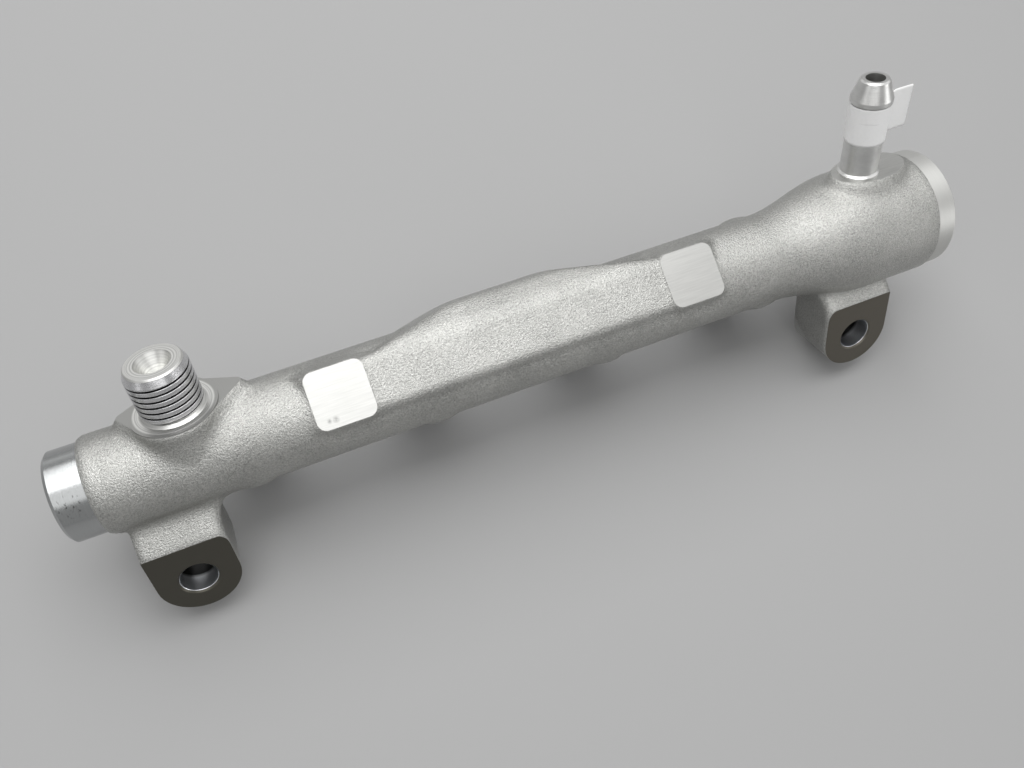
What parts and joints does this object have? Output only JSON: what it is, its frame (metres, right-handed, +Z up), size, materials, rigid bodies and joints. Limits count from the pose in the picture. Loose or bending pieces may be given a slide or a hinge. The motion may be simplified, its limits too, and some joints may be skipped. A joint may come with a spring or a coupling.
{
  "type": "fuel rail",
  "caption": "Forged diesel common-rail fuel rail with threaded pipe stubs, bolt lugs, end ports and a barbed return nipple.",
  "frame": {"origin": "middle of the footprint, on the surface the rail lies on", "axes": "+X along the main bore from the sensor end to the valve end, +Z up from the surface the rail lies on, resting on its lugs and outlet stubs"},
  "size_m": [0.2252, 0.0468, 0.0719],
  "materials": {
    "forged_steel": "shot-blasted forged skin, milled and turned faces bright",
    "turned_steel": "satin, turned",
    "paper": "matt white paper"
  },
  "bodies": {
    "root": {"rail_body": "forged_steel", "return_nipple": "turned_steel", "paper_tag": "paper"}
  },
  "joints": []
}
